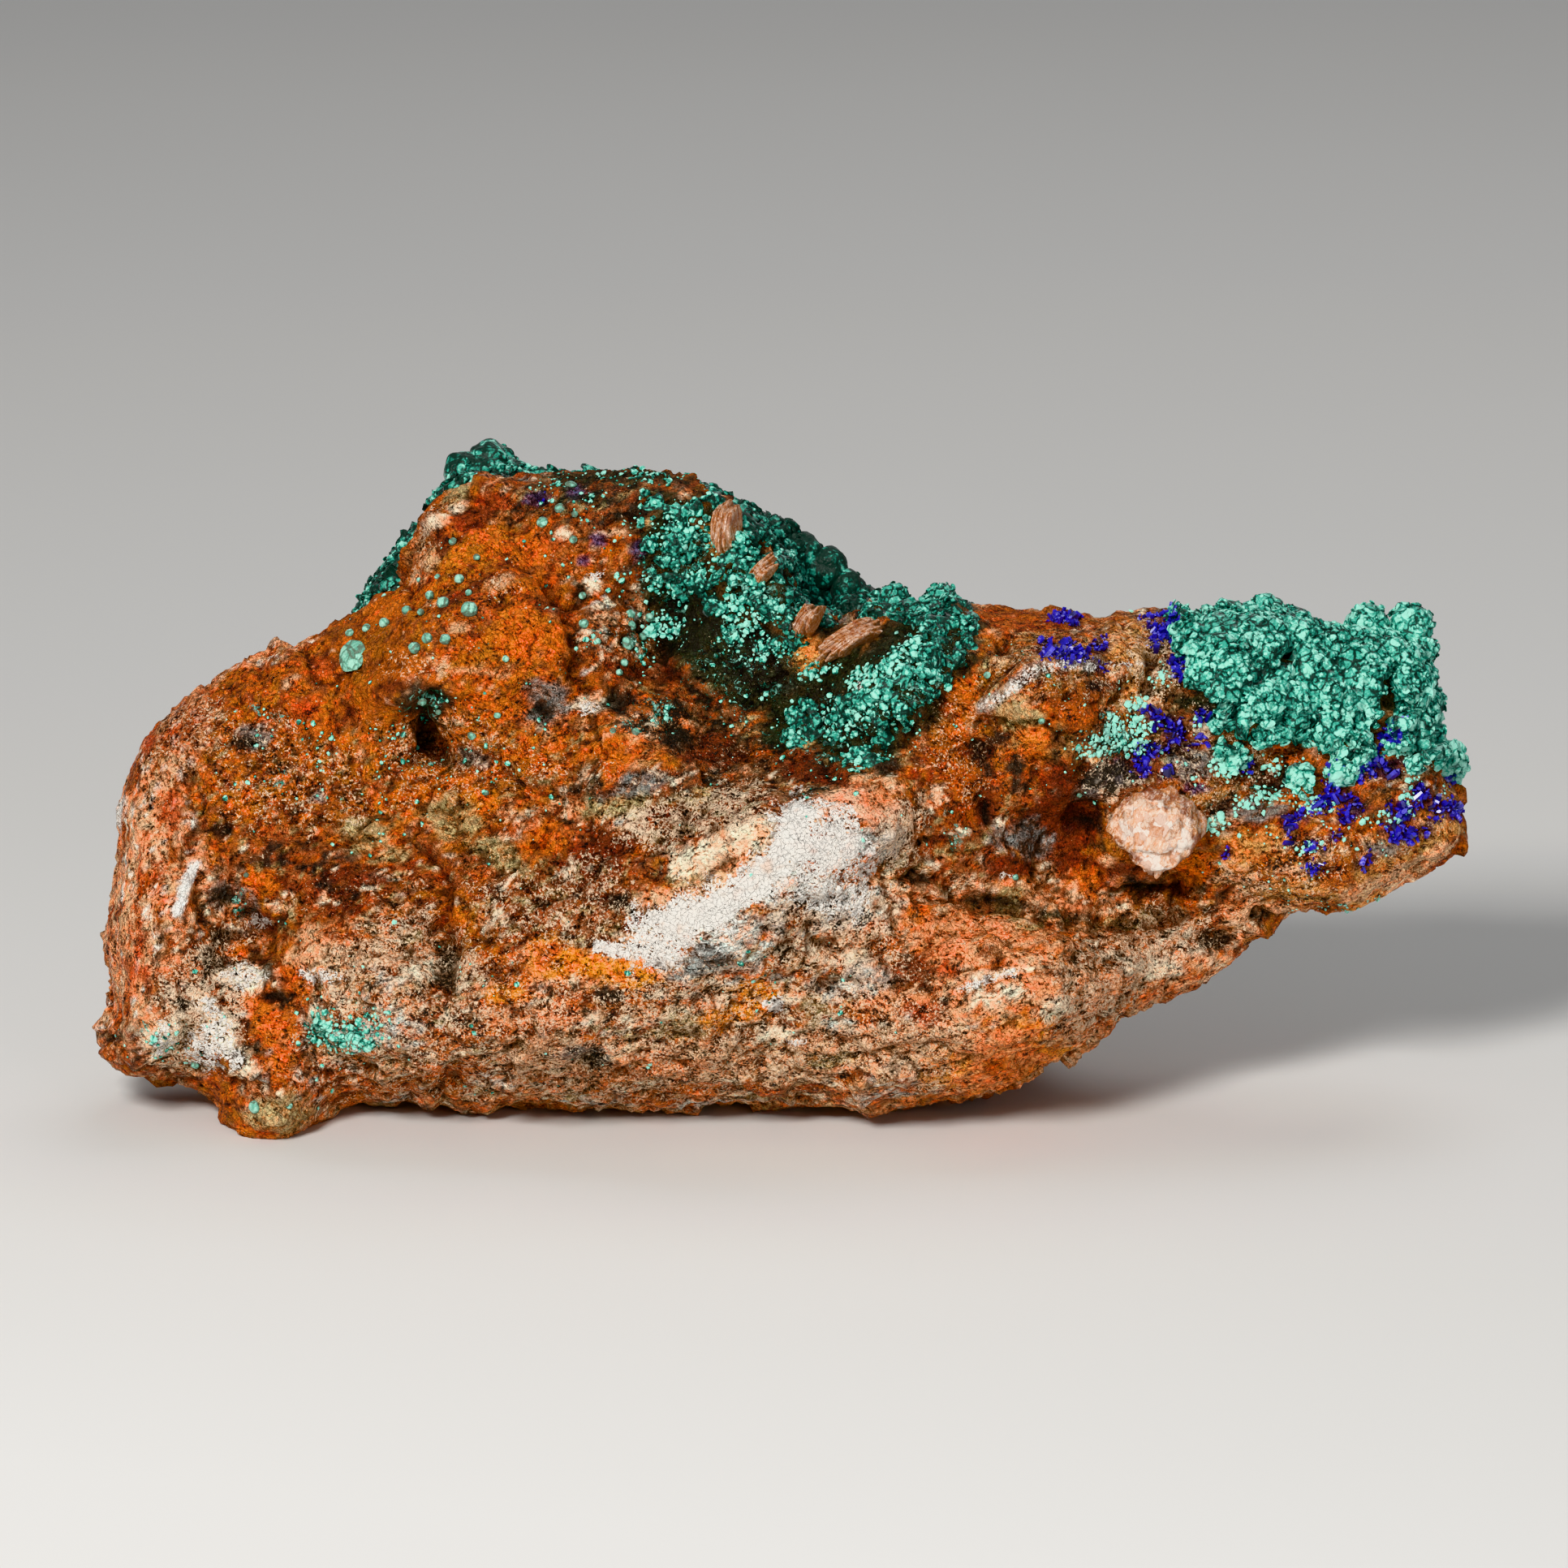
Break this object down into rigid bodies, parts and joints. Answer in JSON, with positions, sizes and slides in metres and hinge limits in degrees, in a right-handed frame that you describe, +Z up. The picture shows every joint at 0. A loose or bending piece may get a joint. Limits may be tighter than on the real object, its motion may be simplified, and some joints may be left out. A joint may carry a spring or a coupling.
{
  "type": "malachite on barite specimen",
  "caption": "Hand-sized mineral specimen: iron-stained barite stone with green malachite crusts, blue azurite clusters and pale barite crystals, standing on a flat foot.",
  "frame": {"origin": "middle of the specimen's footprint, on the surface that it stands on", "axes": "+X along the stone's long side, towards the end that carries the malachite crust; +Z up; -Y out of the broad front face"},
  "size_m": [0.0941, 0.041, 0.0441],
  "materials": {
    "stained_barite": "rough broken stone, iron-stained",
    "malachite": "fine matt velvety crust",
    "dark_malachite": "dark fibrous crust, slight silky sheen",
    "azurite": "small glossy crystals",
    "pale_barite": "satin cleavage faces"
  },
  "bodies": {
    "root": {"barite_matrix": "stained_barite", "malachite_crust_end": "malachite", "malachite_crust_rib": "malachite", "malachite_crust_back_left": "dark_malachite", "malachite_crust_back_middle": "dark_malachite", "malachite_patch_low": "malachite", "malachite_ball_1": "malachite", "malachite_ball_2": "malachite", "malachite_ball_3": "malachite", "malachite_ball_4": "malachite", "malachite_ball_5": "malachite", "malachite_ball_6": "malachite", "azurite_cluster_hump": "azurite", "azurite_cluster_notch": "azurite", "azurite_cluster_inner": "azurite", "azurite_cluster_ledge": "azurite", "azurite_cluster_tip": "azurite", "azurite_cluster_low": "azurite", "barite_nodule": "pale_barite", "barite_blade_rib": "pale_barite", "barite_blade_shoulder": "pale_barite", "barite_blade_upper": "pale_barite", "barite_blade_lower": "pale_barite"}
  },
  "joints": []
}
